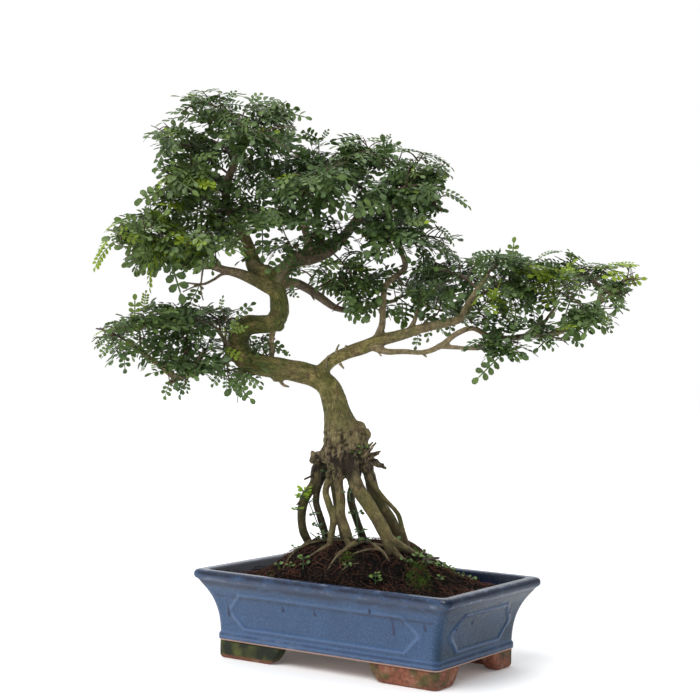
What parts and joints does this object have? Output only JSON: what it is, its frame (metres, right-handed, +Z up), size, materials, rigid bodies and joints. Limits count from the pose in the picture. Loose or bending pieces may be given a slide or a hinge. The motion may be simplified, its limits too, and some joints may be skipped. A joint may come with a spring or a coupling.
{
  "type": "chinese pepper bonsai",
  "caption": "Small-leaved bonsai tree on exposed roots, with an S-shaped trunk and pads of feathery leaves, growing in a glazed rectangular pot on corner feet.",
  "frame": {"origin": "on the surface the pot stands on, under the middle of the whole object's box", "axes": "+Z up; +X along the pot's long side; the pot's long front faces -Y"},
  "size_m": [0.4844, 0.386, 0.5616],
  "materials": {
    "glaze": "glossy blue glaze, mottled and thin over the edges, with bare orange clay under the foot",
    "soil": "loose dark potting soil with fibres and moss",
    "bark": "smooth olive bark, mossy on the trunk and grey-brown on the boughs",
    "leaves": "dark green leaflets with a soft gloss",
    "seedling": "bright green seedling leaves",
    "net": "black plastic net"
  },
  "bodies": {
    "root": {"drain_screen_left": "net", "drain_screen_right": "net", "pot": "glaze", "seedling_front": "seedling", "seedling_left": "seedling", "seedling_right": "seedling", "soil": "soil", "spray_apex_1": "leaves", "spray_apex_2": "leaves", "spray_apex_3": "leaves", "spray_apex_4": "leaves", "spray_crown_1": "leaves", "spray_crown_2": "leaves", "spray_crown_3": "leaves", "spray_crown_4": "leaves", "spray_crown_right_1": "leaves", "spray_crown_right_2": "leaves", "spray_crown_right_3": "leaves", "spray_crown_right_4": "leaves", "spray_heart_1": "leaves", "spray_inner_left_1": "leaves", "spray_inner_left_2": "leaves", "spray_low_centre_1": "leaves", "spray_low_centre_2": "leaves", "spray_low_inner_1": "leaves", "spray_low_inner_2": "leaves", "spray_low_left_1": "leaves", "spray_low_left_2": "leaves", "spray_low_left_3": "leaves", "spray_low_under_1": "leaves", "spray_mid_left_1": "leaves", "spray_mid_left_2": "leaves", "spray_mid_left_3": "leaves", "spray_mid_left_4": "leaves", "spray_right_centre_1": "leaves", "spray_right_centre_2": "leaves", "spray_right_centre_3": "leaves", "spray_right_inner_1": "leaves", "spray_right_inner_2": "leaves", "spray_right_inner_3": "leaves", "spray_right_low_1": "leaves", "spray_right_low_2": "leaves", "spray_right_outer_1": "leaves", "spray_right_outer_2": "leaves", "spray_right_outer_3": "leaves", "spray_right_outer_4": "leaves", "spray_shoulder_1": "leaves", "spray_shoulder_2": "leaves", "spray_shoulder_3": "leaves", "tree": "bark"}
  },
  "joints": []
}
